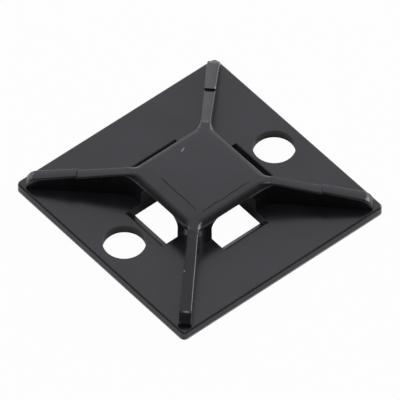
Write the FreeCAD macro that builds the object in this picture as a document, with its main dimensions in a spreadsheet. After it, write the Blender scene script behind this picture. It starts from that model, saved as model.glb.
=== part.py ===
import FreeCAD, Part
import Sketcher
import math
import os
import re

# Four-way cable tie mount, moulded in one piece of nylon.
# Origin at the middle of the underside, +Z up, the plate's sides along X and Y.
# A rib runs from the deck to each corner of the plate, so its sizes lie along a diagonal.

SIZES = [
    ("plate_side", 28.0, "side of the square base plate"),
    ("plate_thick", 1.1, "thickness of the base plate"),
    ("plate_round", 0.6, "round of the plate's corners, in plan"),
    ("plate_edge", 0.25, "round of the plate's top edges"),
    ("deck_side", 11.4, "side of the raised deck, at the underside"),
    ("deck_top", 4.2, "height of the deck's top"),
    ("deck_edge", 0.85, "round of the deck's top edges"),
    ("rib_edge", 0.15, "round of the ribs' top edges"),
    ("mould_draft", 1.2, "draft of the walls of deck and ribs, in degrees"),
    ("rib_width", 1.5, "width of a rib at its tip"),
    ("rib_flare", 1.2, "angle between the sides of a rib, in degrees"),
    ("rib_inset", 1.16, "gap from a rib's tip to the corner of the plate"),
    ("rib_blend", 2.4, "hollow round between deck and rib, in plan"),
    ("fall_lead", 0.5, "from the deck's corner back to where a rib's top starts to fall"),
    ("rib_end", 2.15, "height to which a rib's top falls above its tip, before the step"),
    ("step_start", 13.22, "from the middle to the step in a rib's top"),
    ("step_rise", 0.22, "rise of the step"),
    ("nose_angle", 58.0, "slope of a rib's nose, in degrees"),
    ("nose_round", 1.1, "round between a rib's top and its nose"),
    ("nose_foot", 0.5, "upright foot of the nose, above the plate"),
    ("way_width", 6.12, "width of a tie way, from leg to leg"),
    ("way_middle", 3.0, "height of a tie way in the middle of the deck"),
    ("way_mouth", 3.74, "height of a tie way at the edge of the deck"),
    ("way_round", 1.1, "round between a tie way's roof and the legs"),
    ("slot_length", 13.2, "length of a slot at the underside, end to end"),
    ("ramp_angle", 45.0, "slope of the ramps at a slot's ends, in degrees"),
    ("slot_draft", 0.18, "narrowing of a slot's side towards the underside"),
    ("slot_round", 0.3, "round of a slot's outer rim"),
    ("screw_hole", 4.67, "diameter of a screw hole"),
    ("screw_pitch", 21.0, "distance between the screw holes"),
]

NEAR = 0.01
DIAGONAL = 45.0

doc = FreeCAD.newDocument("tie_mount")
sheet = doc.addObject("Spreadsheet::Sheet", "Sizes")
for row, (name, value, note) in enumerate(SIZES, start=1):
    sheet.set("A%d" % row, name)
    sheet.set("B%d" % row, repr(value))
    sheet.set("C%d" % row, note)
    sheet.setAlias("B%d" % row, name)
doc.recompute()


def tied(formula):
    """Write a formula of size names as an expression on the sheet."""
    return re.sub(r"[a-z]+(_[a-z]+)+", lambda word: "Sizes." + word.group(0), formula)


def worth(formula):
    """Work a formula of size names out."""
    return float(sheet.evalExpression(tied(formula)))


def origin_of(body, role):
    return next(item for item in body.Origin.OriginFeatures if item.Role == role)


def new_sketch(body, name, role, axis=(0, 0, 1), turn=0.0):
    """Lay a sketch on an origin plane, turned about one of its own axes."""
    sketch = body.newObject("Sketcher::SketchObject", name)
    sketch.AttachmentSupport = [(origin_of(body, role), "")]
    sketch.MapMode = "FlatFace"
    sketch.AttachmentOffset = FreeCAD.Placement(
        FreeCAD.Vector(), FreeCAD.Rotation(FreeCAD.Vector(*axis), turn))
    return sketch


def line(sketch, start, end):
    return sketch.addGeometry(Part.LineSegment(FreeCAD.Vector(*start), FreeCAD.Vector(*end)))


def arc(sketch, middle, radius, start, end):
    """Draw an arc anticlockwise between two directions in degrees."""
    circle = Part.Circle(FreeCAD.Vector(*middle), FreeCAD.Vector(0, 0, 1), radius)
    return sketch.addGeometry(Part.ArcOfCircle(circle, math.radians(start), math.radians(end)))


def rules(sketch, *entries):
    for entry in entries:
        sketch.addConstraint(Sketcher.Constraint(*entry))


def join(sketch, chain, smooth=()):
    """Join each edge of a closed chain to the next, tangent between two smooth ones."""
    for first, second in zip(chain, chain[1:] + chain[:1]):
        kind = "Tangent" if first in smooth and second in smooth else "Coincident"
        rules(sketch, (kind, first, 2, second, 1))


def dimension(sketch, name, kind, where, formula):
    """Add a driving dimension and bind it to the sheet."""
    value = math.radians(worth(formula)) if kind == "Angle" else worth(formula)
    number = sketch.addConstraint(Sketcher.Constraint(kind, *where, value))
    sketch.renameConstraint(number, name)
    sketch.setExpression("Constraints." + name, tied(formula))


def feature(body, kind, name, profile=None, **bound):
    """Add a feature to a body, with its sizes bound to formulas."""
    item = body.newObject("PartDesign::" + kind, name)
    if profile:
        item.Profile = profile
    for size, formula in bound.items():
        item.setExpression(size, tied(formula))
    return item


def turned(body, name, originals, count, angle):
    """Repeat features, or the whole body, about the upright axis."""
    item = body.newObject("PartDesign::PolarPattern", name)
    if originals:
        item.Originals = originals
    else:
        item.TransformMode = "Whole shape"
    item.Axis = (origin_of(body, "Z_Axis"), [""])
    item.Angle = angle
    item.Occurrences = count
    body.Tip = item
    return item


def heading(degrees):
    """Unit direction on a sketch, anticlockwise from its first axis."""
    angle = math.radians(degrees)
    return FreeCAD.Vector(math.cos(angle), math.sin(angle), 0)


def edges_where(shape, test):
    return [number for number, edge in enumerate(shape.Edges, start=1) if test(edge)]


def rectangle(sketch, width, height):
    """Draw a rectangle about the sketch's origin."""
    right = worth(width) / 2
    top = worth(height) / 2
    corners = [(-right, -top), (right, -top), (right, top), (-right, top)]
    chain = [line(sketch, *pair) for pair in zip(corners, corners[1:] + corners[:1])]
    join(sketch, chain)
    rules(sketch, ("Horizontal", chain[0]), ("Horizontal", chain[2]),
          ("Vertical", chain[1]), ("Vertical", chain[3]),
          ("Symmetric", chain[0], 1, chain[1], 2, -1, 1))
    dimension(sketch, "width", "DistanceX", (chain[0], 1, chain[0], 2), width)
    dimension(sketch, "height", "DistanceY", (chain[1], 1, chain[1], 2), height)


def rounded(body, name, base, radius, test):
    """Round those edges of a feature that pass a test."""
    item = feature(body, "Fillet", name, Radius=radius)
    item.Base = (base, ["Edge%d" % number for number in edges_where(base.Shape, test)])
    return item


def drafted(body, name, base, angle):
    """Lean the upright sides of a feature inwards as they rise from the origin's level."""
    item = feature(body, "Draft", name, Angle=angle)
    sides = [number for number, face in enumerate(base.Shape.Faces, start=1)
             if face.BoundBox.ZLength > NEAR]
    item.Base = (base, ["Face%d" % number for number in sides])
    item.NeutralPlane = (origin_of(body, "XY_Plane"), [""])
    return item


def base_plate():
    """Square plate with rounded corners and a screw hole either side of the deck."""
    body = doc.addObject("PartDesign::Body", "BasePlate")
    plan = new_sketch(body, "PlatePlan", "XY_Plane")
    rectangle(plan, "plate_side", "plate_side")
    pad = feature(body, "Pad", "PlatePad", plan, Length="plate_thick")
    doc.recompute()
    corners = rounded(body, "PlateCorners", pad, "plate_round", lambda edge: edge.BoundBox.ZLength > NEAR)
    doc.recompute()
    rounded(body, "PlateEdges", corners, "plate_edge",
            lambda edge: edge.BoundBox.ZMin > worth("plate_thick") - NEAR)
    holes = new_sketch(body, "ScrewPlan", "XY_Plane")
    for number, side in enumerate((-1, 1)):
        centre = FreeCAD.Vector(0, side * worth("screw_pitch / 2"), 0)
        circle = holes.addGeometry(
            Part.Circle(centre, FreeCAD.Vector(0, 0, 1), worth("screw_hole / 2")))
        dimension(holes, "bore%d" % number, "Diameter", (circle,), "screw_hole")
    rules(holes, ("Symmetric", 0, 3, 1, 3, -1, 1), ("PointOnObject", 0, 3, -2))
    dimension(holes, "pitch", "DistanceY", (0, 3, 1, 3), "screw_pitch")
    pocket = feature(body, "Pocket", "ScrewHoles", holes)
    pocket.Type = "ThroughAll"
    pocket.Reversed = True
    return body


def deck_and_ribs():
    """Deck with a rib at each corner, all drafted upwards, their tops still level."""
    body = doc.addObject("PartDesign::Body", "DeckAndRibs")
    plan = new_sketch(body, "RibPlan", "XY_Plane", turn=DIAGONAL)
    corner = worth("deck_side / sqrt(2)")
    tip = worth("plate_side / sqrt(2) - rib_inset")
    half = worth("rib_width / 2")
    blend = worth("rib_blend")
    left_back = line(plan, (-corner, 0), (0, corner))
    left_front = line(plan, (0, corner), (corner - blend, blend))
    left_blend = arc(plan, (corner, half + blend), blend, 225, 270)
    left_side = line(plan, (corner, half), (tip, half))
    end = line(plan, (tip, half), (tip, -half))
    right_side = line(plan, (tip, -half), (corner, -half))
    right_blend = arc(plan, (corner, -half - blend), blend, 90, 135)
    right_front = line(plan, (corner - blend, -blend), (0, -corner))
    right_back = line(plan, (0, -corner), (-corner, 0))
    chain = [left_back, left_front, left_blend, left_side, end,
             right_side, right_blend, right_front, right_back]
    join(plan, chain, smooth={left_front, left_blend, left_side,
                              right_side, right_blend, right_front})
    rules(plan, ("Symmetric", end, 1, end, 2, -1),
          ("Symmetric", left_back, 2, right_back, 1, -1),
          ("PointOnObject", left_back, 1, -1),
          ("PointOnObject", left_back, 2, -2),
          ("Perpendicular", left_back, right_back),
          ("Perpendicular", left_back, left_front),
          ("Perpendicular", right_back, right_front),
          ("Equal", left_side, right_side),
          ("Equal", left_blend, right_blend))
    dimension(plan, "side", "DistanceX", (left_back, 1, left_back, 2), "deck_side / sqrt(2)")
    dimension(plan, "blend", "Radius", (left_blend,), "rib_blend")
    dimension(plan, "tip", "DistanceY", (end, 2, end, 1), "rib_width")
    dimension(plan, "reach", "DistanceX", (-1, 1, end, 1), "plate_side / sqrt(2) - rib_inset")
    dimension(plan, "flare", "Angle", (left_side,), "rib_flare / 2")
    pad = feature(body, "Pad", "RibPad", plan, Length="deck_top")
    doc.recompute()
    drafted(body, "RibDraft", pad, "mould_draft")
    doc.recompute()
    turned(body, "FourRibs", None, 4, 360)
    return body


def above_ribs():
    """The space above the four ribs, with a rib's profile from the deck to its nose."""
    body = doc.addObject("PartDesign::Body", "AboveRibs")
    side = new_sketch(body, "RibProfile", "XZ_Plane", axis=(0, 1, 0), turn=DIAGONAL)
    run = "plate_side / sqrt(2) - rib_inset - deck_side / sqrt(2) + fall_lead"
    falling = "atan((deck_top - rib_end) / (%s))" % run
    slope, steep, bend = worth(falling), worth("nose_angle"), worth("nose_round")
    fall, drop = heading(-slope), heading(-steep)
    start = FreeCAD.Vector(worth("deck_side / sqrt(2) - fall_lead"), worth("deck_top"), 0)
    low = start + fall * ((worth("step_start") - start.x) / fall.x)
    high = low + FreeCAD.Vector(0, worth("step_rise"), 0)
    foot = FreeCAD.Vector(worth("plate_side / sqrt(2) - rib_inset"), worth("plate_thick + nose_foot"), 0)
    knee = high + fall * ((foot - high).cross(drop).z / fall.cross(drop).z)
    cut = bend * math.tan(math.radians((steep - slope) / 2))
    past = foot.x + worth("rib_inset")
    cover = 2 * worth("deck_top")
    down = line(side, start, (start.x, cover))
    back = line(side, (start.x, cover), (past, cover))
    rise = line(side, (past, cover), (past, foot.y))
    out = line(side, (past, foot.y), foot)
    face = line(side, foot, knee + drop * cut)
    nose = arc(side, knee + drop * cut - heading(90 - steep) * bend, bend, 90 - steep, 90 - slope)
    outer = line(side, knee - fall * cut, high)
    riser = line(side, high, low)
    inner = line(side, low, start)
    join(side, [down, back, rise, out, face, nose, outer, riser, inner], smooth={face, nose, outer})
    rules(side, ("Parallel", inner, outer), ("Vertical", riser), ("Horizontal", out),
          ("Vertical", rise), ("Horizontal", back), ("Vertical", down))
    dimension(side, "fall_from", "DistanceX", (-1, 1, down, 1), "deck_side / sqrt(2) - fall_lead")
    dimension(side, "level", "DistanceY", (-1, 1, down, 1), "deck_top")
    dimension(side, "fall", "Angle", (inner,), "180 deg - " + falling)
    dimension(side, "step_from", "DistanceX", (-1, 1, riser, 1), "step_start")
    dimension(side, "rise", "DistanceY", (riser, 2, riser, 1), "step_rise")
    dimension(side, "round", "Radius", (nose,), "nose_round")
    dimension(side, "slope", "Angle", (face,), "180 - nose_angle")
    dimension(side, "tip", "DistanceX", (-1, 1, face, 1), "plate_side / sqrt(2) - rib_inset")
    dimension(side, "foot", "DistanceY", (-1, 1, face, 1), "plate_thick + nose_foot")
    dimension(side, "past", "DistanceX", (out, 2, out, 1), "rib_inset")
    dimension(side, "cover", "DistanceY", (down, 1, down, 2), "deck_top")
    pad = feature(body, "Pad", "RibSpace", side, Length="2 * rib_blend + rib_width")
    pad.SideType = "Symmetric"
    turned(body, "FourRibSpaces", [pad], 4, 360)
    return body


def tie_ways():
    """The space of the two crossing tie ways, down through the ramped slots in the plate."""
    body = doc.addObject("PartDesign::Body", "TieWays")
    side = new_sketch(body, "WayProfile", "XZ_Plane")
    sill, end, rim = worth("plate_thick"), worth("slot_length / 2"), worth("slot_round")
    middle, mouth, brink = worth("way_middle"), worth("way_mouth"), worth("deck_side / 2")
    reach = end + sill + rim / 2
    bow = (brink ** 2 + (mouth - middle) ** 2) / (2 * (mouth - middle))
    lean = math.degrees(math.asin(reach / bow))
    high = middle + bow - math.sqrt(bow ** 2 - reach ** 2)
    roof = arc(side, (0, middle + bow), bow, 270 - lean, 270 + lean)
    right_wall = line(side, (reach, high), (reach, sill))
    right_rim = arc(side, (reach, sill - rim), rim, 90, 135)
    right_ramp = line(side, (reach - rim, sill - rim), (end, 0))
    floor = line(side, (end, 0), (-end, 0))
    left_ramp = line(side, (-end, 0), (rim - reach, sill - rim))
    left_rim = arc(side, (-reach, sill - rim), rim, 45, 90)
    left_wall = line(side, (-reach, sill), (-reach, high))
    join(side, [roof, right_wall, right_rim, right_ramp, floor, left_ramp, left_rim, left_wall],
         smooth={right_rim, right_ramp, left_ramp, left_rim})
    lowest = side.addGeometry(Part.Point(FreeCAD.Vector(0, middle, 0)), True)
    lip = side.addGeometry(Part.Point(FreeCAD.Vector(brink, mouth, 0)), True)
    rules(side, ("PointOnObject", roof, 3, -2), ("PointOnObject", lowest, 1, -2),
          ("PointOnObject", lowest, 1, roof), ("PointOnObject", lip, 1, roof),
          ("Vertical", right_wall), ("Vertical", left_wall),
          ("Vertical", right_rim, 3, right_rim, 1),
          ("PointOnObject", floor, 1, -1),
          ("Symmetric", floor, 1, floor, 2, -2),
          ("Symmetric", right_rim, 1, left_rim, 2, -2),
          ("Symmetric", right_rim, 2, left_rim, 1, -2))
    dimension(side, "middle", "DistanceY", (-1, 1, lowest, 1), "way_middle")
    dimension(side, "mouth", "DistanceY", (-1, 1, lip, 1), "way_mouth")
    dimension(side, "edge", "DistanceX", (-1, 1, lip, 1), "deck_side / 2")
    dimension(side, "end", "DistanceX", (-1, 1, floor, 1), "slot_length / 2")
    dimension(side, "ramp", "Angle", (left_ramp,), "180 - ramp_angle")
    dimension(side, "rim", "Radius", (right_rim,), "slot_round")
    dimension(side, "sill", "DistanceY", (-1, 1, right_rim, 1), "plate_thick")
    pad = feature(body, "Pad", "WaySpace", side, Length="way_width")
    pad.SideType = "Symmetric"
    doc.recompute()
    rounded(body, "WayRounds", pad, "way_round",
            lambda edge: edge.Curve.TypeId == "Part::GeomCircle" and edge.BoundBox.ZMin > sill)
    across = new_sketch(body, "SlotDraft", "YZ_Plane")
    half, narrow = worth("way_width / 2"), worth("way_width / 2 - slot_draft")
    for number, hand in enumerate((1, -1)):
        corners = [(hand * half, sill), (hand * half, 0), (hand * narrow, 0)]
        wedge = [line(across, *pair) for pair in zip(corners, corners[1:] + corners[:1])]
        join(across, wedge)
        rules(across, ("Vertical", wedge[0]), ("PointOnObject", wedge[1], 1, -1),
              ("PointOnObject", wedge[1], 2, -1))
        width = (-1, 1, wedge[0], 1) if hand > 0 else (wedge[0], 1, -1, 1)
        draft = (wedge[1], 2, wedge[1], 1) if hand > 0 else (wedge[1], 1, wedge[1], 2)
        dimension(across, "side%d" % number, "DistanceX", width, "way_width / 2")
        dimension(across, "draft%d" % number, "DistanceX", draft, "slot_draft")
        dimension(across, "depth%d" % number, "DistanceY", (-1, 1, wedge[0], 1), "plate_thick")
    wedges = feature(body, "Pocket", "SlotSides", across)
    wedges.Type = "ThroughAll"
    wedges.SideType = "Symmetric"
    doc.recompute()
    turned(body, "CrossedWays", None, 2, 90)
    return body


def combined(kind, name, base, tool):
    """Join a solid to another, or cut it from another."""
    item = doc.addObject("Part::" + kind, name)
    item.Base = base
    item.Tool = tool
    item.Refine = True
    doc.recompute()
    return item


def edged(name, base, rounds):
    """Round edges, each given with its number and the round at either end."""
    item = doc.addObject("Part::Fillet", name)
    item.Base = base
    item.Edges = rounds
    doc.recompute()
    return item


def along(point):
    """Distance from the middle along the nearest rib."""
    return (abs(point.x) + abs(point.y)) / math.sqrt(2)


def beside(point):
    """Distance to one side or the other of the nearest rib's middle line."""
    return (abs(point.x) - abs(point.y)) / math.sqrt(2)


def top_rounds(shape):
    """The deck's top edges, with the deck's round running out into the ribs' round."""
    rounds = []
    for number in edges_where(shape, lambda edge: edge.BoundBox.ZMin > worth("deck_top") - NEAR):
        ends = [vertex.Point for vertex in shape.Edges[number - 1].Vertexes]
        on_deck = [max(abs(point.x), abs(point.y)) < worth("deck_side / 2") for point in ends]
        rounds.append((number, *[worth("deck_edge" if deck else "rib_edge") for deck in on_deck]))
    return rounds


def rib_rounds(shape):
    """The side edges of the ribs' falling tops and noses."""
    radius = worth("rib_edge")

    def is_side(edge):
        start, end = edge.Vertexes[0].Point, edge.Vertexes[-1].Point
        clear_of_deck = min(along(start), along(end)) > worth("deck_side / sqrt(2)") + radius
        on_one_side = beside(start) * beside(end) > 0
        above_plate = min(start.z, end.z) > worth("plate_thick")
        upright = abs(along(start) - along(end)) < radius
        return clear_of_deck and on_one_side and above_plate and not upright

    return [(number, radius, radius) for number in edges_where(shape, is_side)]


def check_all():
    """Stop before anything is written if an object failed."""
    for item in doc.Objects:
        if {"Invalid", "Error"} & set(item.State):
            raise RuntimeError("%s failed" % item.Name)
        if hasattr(item, "Shape") and (item.Shape.isNull() or not item.Shape.isValid()):
            raise RuntimeError("%s has no sound shape" % item.Name)


plate = base_plate()
deck = deck_and_ribs()
above = above_ribs()
ways = tie_ways()
doc.recompute()
deck_edged = edged("DeckEdges", deck, top_rounds(deck.Shape))
sloped = combined("Cut", "RibTops", deck_edged, above)
ribs_edged = edged("RibEdges", sloped, rib_rounds(sloped.Shape))
moulding = combined("Fuse", "Moulding", plate, ribs_edged)
mount = combined("Cut", "TieMount", moulding, ways)
mount.Label = "tie_mount"
check_all()

os.makedirs("parts", exist_ok=True)
mount.Shape.exportStep("parts/%s.step" % mount.Label)
solid = mount.Shape.Solids[0]
print("solids %d, faces %d, volume %.2f mm3" % (
    len(mount.Shape.Solids), len(solid.Faces), solid.Volume))
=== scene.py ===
import math

import bpy
from mathutils import Matrix, Vector

# Cable tie mount, one moulding of black nylon, seen from above one corner.

MM = 0.001

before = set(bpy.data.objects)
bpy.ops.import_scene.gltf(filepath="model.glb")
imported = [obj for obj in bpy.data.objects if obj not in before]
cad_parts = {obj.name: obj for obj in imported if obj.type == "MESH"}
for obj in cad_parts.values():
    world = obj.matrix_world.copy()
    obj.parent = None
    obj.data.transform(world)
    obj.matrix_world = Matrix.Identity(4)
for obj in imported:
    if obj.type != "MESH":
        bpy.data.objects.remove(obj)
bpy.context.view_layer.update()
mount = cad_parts["tie_mount"]

# Camera, as the photograph was taken: from far away with a long lens. Angles are in degrees.
CAMERA_AZIMUTH = 49.94
CAMERA_ELEVATION = 48.89
CAMERA_ROLL = 0.094
CAMERA_DISTANCE = 971.3 * MM
CAMERA_LENS = 815.8
AIM_RIGHT = 0.043 * MM
AIM_UP = 0.105 * MM

# Azimuth behind the object as the camera sees it, and the distance and colour of the lamps.
BACK = 230
LAMP_DISTANCE = 1.2
COOL_WHITE = "#f6f6ff"

# The arched light: where its middle is, how far it spreads, how fast it fades, and its strength.
ARCH_ELEVATION = 35
ARCH_SPREAD = 0.45
ARCH_START = -0.1
ARCH_FALL = 3.4
DARK_ROOM = 0.11
BRIGHT_ARCH = 1.24

# The table: half its side, its gap under the plate, and the reach and depth of the shade on it.
TABLE_HALF = 0.6
TABLE_GAP = 0.02 * MM
SHADE_REACH = 30 * MM
SHADE_DEPTH = 3.0

# Shares of plain white in what the table shows: in gloss, and in all that is seen of it.
WHITE_IN_GLOSS = 0.95
WHITE_SHARE = 0.97

# The skin: size of its grain as drawn, depth of that, and size of the patches in it.
GRAIN = 0.25 * MM
GRAIN_DEPTH = 0.01 * MM
PATCH = 4 * MM

# Values of the patches' noise that give the one look and the other.
PATCH_SPAN = (0.3, 0.7)

# Roughness of the satin skin, how much rougher the plate is, and roughness in a crease.
SATIN = (0.18, 0.22)
PLATE_ROUGHER = 0.04
DULL = 1.0

# How far a crease strays from straight, and over what length, in mm.
STRAY = 0.3
STRAY_LENGTH = 1.25

# Slope of the skin: for each mm beside a rib's middle, each mm across the deck, and past a crease.
RIB_CROWN = 0.12
DECK_BOW = 0.007
DECK_LIP = 0.03

# Where these slopes begin and are whole, in mm: X and Y together, height, and past the creases.
CROWN_ALONG = (10.5, 13.0)
CROWN_HEIGHT = (1.3, 1.6)
DECK_HEIGHT = (4.12, 4.195)
LIP_X = (4.0, 4.3)
LIP_Y = (-3.3, -3.6)

# How far a face has to point up, for none of a rib's crown and for all of it.
CROWN_FACING = (0.25, 0.5)

# The plate in mm: its outer sides, the foot of them painted pale as a highlight, and the height where
# its rougher skin ends.
PLATE_SIDES = (13.9, 13.98)
PLATE_FOOT = (0.08, 0.36)
PLATE_SKIN = (1.15, 1.5)

# Marks of the moulding: middle and half size in mm, and turn about the upright in degrees.
CREASES = [((0.62, -3.4, 4.2), (2.8, 0.02, 0.2), 0),
           ((4.15, 0.2, 4.2), (0.02, 3.2, 0.2), 0)]
NICKS = [((-3.94, 0.98, 4.2), (0.01, 0.28, 0.1), 22),
         ((8.59, -9.46, 3.1), (0.03, 0.14, 0.2), -45),
         ((11.8, -12.86, 2.5), (0.14, 0.03, 0.2), -45),
         ((8.75, 9.8, 3.2), (0.04, 0.1, 0.2), -45),
         ((-9.09, 9.86, 3.1), (0.14, 0.03, 0.2), -45)]

# Width of the soft edge round them, in mm.
CREASE_EDGE = 0.11
NICK_EDGE = 0.06


def towards(azimuth, elevation):
    """Unit direction out from the object, by azimuth and elevation in degrees."""
    azimuth = math.radians(azimuth)
    elevation = math.radians(elevation)
    flat = math.cos(elevation)
    return Vector((math.sin(azimuth) * flat, -math.cos(azimuth) * flat, math.sin(elevation)))


def place_camera():
    """The lens looks back along one line to just beside the middle of the underside."""
    back = towards(CAMERA_AZIMUTH, CAMERA_ELEVATION)
    level = towards(CAMERA_AZIMUTH + 90, 0)
    right = Matrix.Rotation(-math.radians(CAMERA_ROLL), 3, back) @ level
    up = back.cross(right)
    camera = bpy.data.objects.new("camera", bpy.data.cameras.new("camera"))
    turn = Matrix((right, up, back)).transposed().to_4x4()
    place = back * CAMERA_DISTANCE + right * AIM_RIGHT + up * AIM_UP
    camera.matrix_world = Matrix.Translation(place) @ turn
    camera.data.lens = CAMERA_LENS
    camera.data.clip_end = 10
    bpy.context.collection.objects.link(camera)
    bpy.context.scene.camera = camera


def srgb(text):
    """Turn an sRGB hex colour to linear values."""
    channels = [int(text[place:place + 2], 16) / 255 for place in (1, 3, 5)]
    linear = [value / 12.92 if value <= 0.04045 else ((value + 0.055) / 1.055) ** 2.4
              for value in channels]
    return (*linear, 1)


def add_node(tree, kind, settings=None, inputs=None):
    """Add a node, set its own settings, and set or link its inputs."""
    node = tree.nodes.new(kind)
    for name, value in (settings or {}).items():
        setattr(node, name, value)
    for name, value in (inputs or {}).items():
        if isinstance(value, bpy.types.NodeSocket):
            tree.links.new(value, node.inputs[name])
        else:
            node.inputs[name].default_value = value
    return node


def new_material(name):
    """A material with an empty node tree."""
    material = bpy.data.materials.new(name)
    material.use_nodes = True
    material.node_tree.nodes.clear()
    return material


def near_marks(tree, place, marks, edge):
    """How near a place is to the nearest of some small marks: 1 inside, 0 beyond the edge."""
    nearest = None
    for middle, half, turn in marks:
        turned = add_node(tree, "ShaderNodeVectorRotate", {"rotation_type": "Z_AXIS"}, {
            "Vector": place, "Center": middle, "Angle": math.radians(-turn)})
        shift = add_node(tree, "ShaderNodeVectorMath", {"operation": "SUBTRACT"}, {
            0: turned.outputs[0], 1: middle})
        away = add_node(tree, "ShaderNodeVectorMath", {"operation": "ABSOLUTE"}, {0: shift.outputs[0]})
        past = add_node(tree, "ShaderNodeVectorMath", {"operation": "SUBTRACT"}, {
            0: away.outputs[0], 1: half})
        outside = add_node(tree, "ShaderNodeVectorMath", {"operation": "MAXIMUM"}, {
            0: past.outputs[0], 1: (0, 0, 0)})
        gap = add_node(tree, "ShaderNodeVectorMath", {"operation": "LENGTH"}, {0: outside.outputs[0]})
        mark = add_node(tree, "ShaderNodeMapRange", {"interpolation_type": "SMOOTHSTEP"}, {
            "Value": gap.outputs["Value"], "From Min": 0, "From Max": edge, "To Min": 1, "To Max": 0})
        if nearest:
            mark = add_node(tree, "ShaderNodeMath", {"operation": "MAXIMUM"}, {
                0: nearest, 1: mark.outputs[0]})
        nearest = mark.outputs[0]
    return nearest


def rib_crown(tree, place, height, far, normal):
    """The ribs' tops are a little crowned: the skin leans away from a rib's middle line."""
    beside = add_node(tree, "ShaderNodeMath", {"operation": "SUBTRACT"}, {
        0: far.outputs["X"], 1: far.outputs["Y"]})
    along = add_node(tree, "ShaderNodeMath", {"operation": "ADD"}, {
        0: far.outputs["X"], 1: far.outputs["Y"]})
    on_rib = add_node(tree, "ShaderNodeMapRange", {"interpolation_type": "SMOOTHSTEP"}, {
        "Value": along.outputs[0], "From Min": CROWN_ALONG[0], "From Max": CROWN_ALONG[1],
        "To Max": RIB_CROWN})
    raised = add_node(tree, "ShaderNodeMapRange", inputs={
        "Value": height, "From Min": CROWN_HEIGHT[0], "From Max": CROWN_HEIGHT[1]})
    facing = add_node(tree, "ShaderNodeSeparateXYZ", inputs={0: normal})
    upward = add_node(tree, "ShaderNodeMapRange", {"interpolation_type": "SMOOTHSTEP"}, {
        "Value": facing.outputs["Z"], "From Min": CROWN_FACING[0], "From Max": CROWN_FACING[1]})
    amount = beside
    for part in (on_rib, raised, upward):
        amount = add_node(tree, "ShaderNodeMath", {"operation": "MULTIPLY"}, {
            0: amount.outputs[0], 1: part.outputs[0]})
    quarter = add_node(tree, "ShaderNodeVectorMath", {"operation": "SIGN"}, {0: place})
    across = add_node(tree, "ShaderNodeVectorMath", {"operation": "MULTIPLY"}, {
        0: quarter.outputs[0], 1: (1, -1, 0)})
    lean = add_node(tree, "ShaderNodeVectorMath", {"operation": "SCALE"}, {
        0: across.outputs[0], "Scale": amount.outputs[0]})
    return lean.outputs[0]


def deck_bow(tree, place, spot):
    """The deck's top bows down a little all round, and more outside its creases."""
    bow = add_node(tree, "ShaderNodeVectorMath", {"operation": "MULTIPLY"}, {
        0: place, 1: (DECK_BOW, DECK_BOW, 0)})
    past_x = add_node(tree, "ShaderNodeMapRange", {"interpolation_type": "SMOOTHSTEP"}, {
        "Value": spot.outputs["X"], "From Min": LIP_X[0], "From Max": LIP_X[1], "To Max": DECK_LIP})
    past_y = add_node(tree, "ShaderNodeMapRange", {"interpolation_type": "SMOOTHSTEP"}, {
        "Value": spot.outputs["Y"], "From Min": LIP_Y[0], "From Max": LIP_Y[1], "To Max": -DECK_LIP})
    lip = add_node(tree, "ShaderNodeCombineXYZ", inputs={
        "X": past_x.outputs[0], "Y": past_y.outputs[0]})
    both = add_node(tree, "ShaderNodeVectorMath", {"operation": "ADD"}, {
        0: bow.outputs[0], 1: lip.outputs[0]})
    on_deck = add_node(tree, "ShaderNodeMapRange", inputs={
        "Value": spot.outputs["Z"], "From Min": DECK_HEIGHT[0], "From Max": DECK_HEIGHT[1]})
    lean = add_node(tree, "ShaderNodeVectorMath", {"operation": "SCALE"}, {
        0: both.outputs[0], "Scale": on_deck.outputs[0]})
    return lean.outputs[0]


def painted_foot_highlight(tree, height, far):
    """Painted highlight: the foot of the plate's outer sides is painted pale, standing in for the light
    it catches.
    """
    reach = add_node(tree, "ShaderNodeMath", {"operation": "MAXIMUM"}, {
        0: far.outputs["X"], 1: far.outputs["Y"]})
    outer = add_node(tree, "ShaderNodeMapRange", inputs={
        "Value": reach.outputs[0], "From Min": PLATE_SIDES[0], "From Max": PLATE_SIDES[1]})
    low = add_node(tree, "ShaderNodeMapRange", {"interpolation_type": "SMOOTHSTEP"}, {
        "Value": height, "From Min": PLATE_FOOT[0], "From Max": PLATE_FOOT[1],
        "To Min": 1, "To Max": 0})
    foot = add_node(tree, "ShaderNodeMath", {"operation": "MULTIPLY"}, {
        0: outer.outputs[0], 1: low.outputs[0]})
    return foot.outputs[0]


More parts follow.
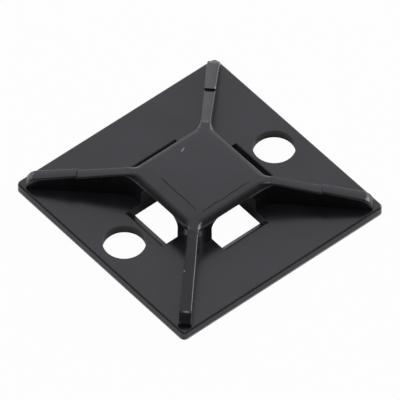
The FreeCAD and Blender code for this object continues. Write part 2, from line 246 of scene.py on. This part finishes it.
def black_moulded_nylon():
    """Nylon, injection moulded in a lightly textured steel mould: a satin black with a soft sheen."""
    material = new_material("black_moulded_nylon")
    tree = material.node_tree
    local = add_node(tree, "ShaderNodeTexCoord")
    surface = add_node(tree, "ShaderNodeNewGeometry")

    # The mould's grain is really about 0.05 mm, and is drawn at 0.25 mm so that it shows.
    grain = add_node(tree, "ShaderNodeTexNoise", inputs={
        "Vector": local.outputs["Object"], "Scale": 1 / GRAIN, "Detail": 3.0})

    # Patches of about 4 mm, where the melt filled the mould a little differently.
    cloud = add_node(tree, "ShaderNodeTexNoise", inputs={
        "Vector": local.outputs["Object"], "Scale": 1 / PATCH, "Detail": 2.0})

    # Places in mm, and the same with a slight waver for lines that aren't quite straight.
    place = add_node(tree, "ShaderNodeVectorMath", {"operation": "SCALE"}, {
        0: local.outputs["Object"], "Scale": 1 / MM})
    waver = add_node(tree, "ShaderNodeTexNoise", inputs={
        "Vector": place.outputs[0], "Scale": 1 / STRAY_LENGTH, "Detail": 1.0})
    strayed = add_node(tree, "ShaderNodeVectorMath", {"operation": "MULTIPLY_ADD"}, {
        0: waver.outputs["Color"], 1: (STRAY, STRAY, 0), 2: place.outputs[0]})
    wavering = add_node(tree, "ShaderNodeVectorMath", {"operation": "SUBTRACT"}, {
        0: strayed.outputs[0], 1: (STRAY / 2, STRAY / 2, 0)})
    spot = add_node(tree, "ShaderNodeSeparateXYZ", inputs={0: place.outputs[0]})
    unsigned = add_node(tree, "ShaderNodeVectorMath", {"operation": "ABSOLUTE"}, {0: place.outputs[0]})
    far = add_node(tree, "ShaderNodeSeparateXYZ", inputs={0: unsigned.outputs[0]})
    height = spot.outputs["Z"]

    # Skin that leans on the ribs and the deck, with the grain on it.
    leans = add_node(tree, "ShaderNodeVectorMath", {"operation": "ADD"}, {
        0: rib_crown(tree, place.outputs[0], height, far, surface.outputs["Normal"]),
        1: deck_bow(tree, place.outputs[0], spot)})
    leaning = add_node(tree, "ShaderNodeVectorMath", {"operation": "ADD"}, {
        0: surface.outputs["Normal"], 1: leans.outputs[0]})
    normal = add_node(tree, "ShaderNodeVectorMath", {"operation": "NORMALIZE"}, {0: leaning.outputs[0]})
    bump = add_node(tree, "ShaderNodeBump", inputs={
        "Height": grain.outputs["Fac"], "Strength": 0.1, "Distance": GRAIN_DEPTH,
        "Normal": normal.outputs[0]})

    # Black that varies with the patches, painted pale at the foot as a highlight, and pale in the
    # nicks.
    patches = add_node(tree, "ShaderNodeMapRange", inputs={
        "Value": cloud.outputs["Fac"], "From Min": PATCH_SPAN[0], "From Max": PATCH_SPAN[1]})
    black = add_node(tree, "ShaderNodeMix", {"data_type": "RGBA"}, {
        "Factor": patches.outputs[0], 6: srgb("#1c1c1e"), 7: srgb("#262628")})
    pale = add_node(tree, "ShaderNodeMath", {"operation": "MAXIMUM"}, {
        0: painted_foot_highlight(tree, height, far),
        1: near_marks(tree, place.outputs[0], NICKS, NICK_EDGE)})
    # The pale is a painted highlight at the plate's foot, and the nicks' own colour.
    colour = add_node(tree, "ShaderNodeMix", {"data_type": "RGBA"}, {
        "Factor": pale.outputs[0], 6: black.outputs[2], 7: srgb("#b8b0b0")})

    # Satin ribs and deck, a slightly rougher plate, and dull creases.
    satin = add_node(tree, "ShaderNodeMapRange", inputs={
        "Value": cloud.outputs["Fac"], "From Min": PATCH_SPAN[0], "From Max": PATCH_SPAN[1],
        "To Min": SATIN[0], "To Max": SATIN[1]})
    etched = add_node(tree, "ShaderNodeMapRange", {"interpolation_type": "SMOOTHSTEP"}, {
        "Value": height, "From Min": PLATE_SKIN[0], "From Max": PLATE_SKIN[1],
        "To Min": PLATE_ROUGHER, "To Max": 0})
    skin = add_node(tree, "ShaderNodeMath", {"operation": "ADD"}, {
        0: satin.outputs[0], 1: etched.outputs[0]})
    rough = add_node(tree, "ShaderNodeMix", {"data_type": "FLOAT"}, {
        "Factor": near_marks(tree, wavering.outputs[0], CREASES, CREASE_EDGE),
        "A": skin.outputs[0], "B": DULL})

    nylon = add_node(tree, "ShaderNodeBsdfPrincipled", inputs={
        "Base Color": colour.outputs[2], "Roughness": rough.outputs[0],
        "IOR": 1.53, "Normal": bump.outputs["Normal"]})
    add_node(tree, "ShaderNodeOutputMaterial", inputs={"Surface": nylon.outputs["BSDF"]})
    return material


def pale_table():
    """White laminate: matt, seen white by the camera and in gloss, and in shade close under things."""
    material = new_material("pale_table")
    tree = material.node_tree
    matt = add_node(tree, "ShaderNodeBsdfDiffuse", inputs={"Color": srgb("#e8e8e8")})
    white = add_node(tree, "ShaderNodeEmission", inputs={"Color": srgb("#ffffff"), "Strength": 1.0})
    path = add_node(tree, "ShaderNodeLightPath")
    open_sky = add_node(tree, "ShaderNodeAmbientOcclusion", {"samples": 8}, {"Distance": SHADE_REACH})
    shade = add_node(tree, "ShaderNodeMath", {"operation": "POWER"}, {
        0: open_sky.outputs["AO"], 1: SHADE_DEPTH})
    mirrored = add_node(tree, "ShaderNodeMath", {"operation": "MAXIMUM"}, {
        0: path.outputs["Is Glossy Ray"], 1: path.outputs["Is Transmission Ray"]})
    gloss = add_node(tree, "ShaderNodeMath", {"operation": "MULTIPLY"}, {
        0: mirrored.outputs[0], 1: WHITE_IN_GLOSS})
    lit = add_node(tree, "ShaderNodeMath", {"operation": "MULTIPLY"}, {
        0: gloss.outputs[0], 1: shade.outputs[0]})
    seen = add_node(tree, "ShaderNodeMath", {"operation": "MAXIMUM"}, {
        0: path.outputs["Is Camera Ray"], 1: lit.outputs[0]})
    share = add_node(tree, "ShaderNodeMath", {"operation": "MULTIPLY"}, {
        0: seen.outputs[0], 1: WHITE_SHARE})
    mix = add_node(tree, "ShaderNodeMixShader", inputs={
        0: share.outputs[0], 1: matt.outputs[0], 2: white.outputs[0]})
    add_node(tree, "ShaderNodeOutputMaterial", inputs={"Surface": mix.outputs[0]})
    return material


def lay_table():
    """A large flat table just under the plate."""
    mesh = bpy.data.meshes.new("table")
    corners = [(x * TABLE_HALF, y * TABLE_HALF, 0) for x, y in ((-1, -1), (1, -1), (1, 1), (-1, 1))]
    mesh.from_pydata(corners, [], [(0, 1, 2, 3)])
    mesh.materials.append(pale_table())
    table = bpy.data.objects.new("table", mesh)
    table.location.z = -TABLE_GAP
    bpy.context.collection.objects.link(table)


def soft_box(name, azimuth, elevation, width, height, power):
    """A soft box that faces the object."""
    light = bpy.data.lights.new(name, "AREA")
    light.shape = "RECTANGLE"
    light.size = width
    light.size_y = height
    light.energy = power
    light.color = srgb(COOL_WHITE)[:3]
    side = towards(azimuth, elevation)
    turn = side.to_track_quat("Z", "Y").to_matrix().to_4x4()
    lamp = bpy.data.objects.new(name, light)
    lamp.matrix_world = Matrix.Translation(side * LAMP_DISTANCE) @ turn
    lamp.visible_camera = False
    bpy.context.collection.objects.link(lamp)


def arched_light():
    """A soft light arched over the object from behind, fading to a dark room in front."""
    world = bpy.data.worlds.new("studio")
    world.use_nodes = True
    tree = world.node_tree
    tree.nodes.clear()
    around = add_node(tree, "ShaderNodeTexCoord")
    behind = add_node(tree, "ShaderNodeVectorMath", {"operation": "DOT_PRODUCT"}, {
        0: around.outputs["Generated"], 1: towards(BACK, ARCH_ELEVATION)})
    back_half = add_node(tree, "ShaderNodeMath", {"operation": "MAXIMUM"}, {
        0: behind.outputs["Value"], 1: 0})
    aside = add_node(tree, "ShaderNodeVectorMath", {"operation": "DOT_PRODUCT"}, {
        0: around.outputs["Generated"], 1: towards(BACK + 90, 0) * ARCH_SPREAD})
    arch = add_node(tree, "ShaderNodeCombineXYZ", inputs={
        "X": back_half.outputs[0], "Y": aside.outputs["Value"]})
    near_arch = add_node(tree, "ShaderNodeVectorMath", {"operation": "LENGTH"}, {0: arch.outputs[0]})
    fade = add_node(tree, "ShaderNodeMapRange", inputs={
        "Value": near_arch.outputs["Value"], "From Min": ARCH_START})
    bend = add_node(tree, "ShaderNodeMath", {"operation": "POWER"}, {0: fade.outputs[0], 1: ARCH_FALL})
    sweep = add_node(tree, "ShaderNodeMapRange", inputs={
        "Value": bend.outputs[0], "To Min": DARK_ROOM, "To Max": BRIGHT_ARCH})

    # The camera sees plain white past the table, also through anything clear.
    path = add_node(tree, "ShaderNodeLightPath")
    seen = add_node(tree, "ShaderNodeMath", {"operation": "MAXIMUM"}, {
        0: path.outputs["Is Camera Ray"], 1: path.outputs["Is Transmission Ray"]})
    strength = add_node(tree, "ShaderNodeMix", {"data_type": "FLOAT"}, {
        "Factor": seen.outputs[0], "A": sweep.outputs[0], "B": 1.0})
    colour = add_node(tree, "ShaderNodeMix", {"data_type": "RGBA"}, {
        "Factor": seen.outputs[0], 6: srgb(COOL_WHITE), 7: srgb("#ffffff")})
    background = add_node(tree, "ShaderNodeBackground", inputs={
        "Color": colour.outputs[2], "Strength": strength.outputs[0]})
    add_node(tree, "ShaderNodeOutputWorld", inputs={"Surface": background.outputs[0]})
    bpy.context.scene.world = world


mount.material_slots[0].material = black_moulded_nylon()
lay_table()
place_camera()
arched_light()

# Each soft box: azimuth and elevation in degrees, width and height in metres, power in watts.
soft_box("back_strip", BACK, 13, 0.4, 0.55, 0.7)
soft_box("back_left_box", BACK + 40, 12, 0.5, 0.6, 1.1)
soft_box("back_right_box", BACK - 40, 12, 0.5, 0.6, 1.8)
soft_box("right_box", BACK - 62, 22, 0.35, 1.1, 6.0)
soft_box("top_box", BACK, 91, 0.3, 0.3, 1.6)

bpy.context.scene.view_settings.view_transform = "Standard"
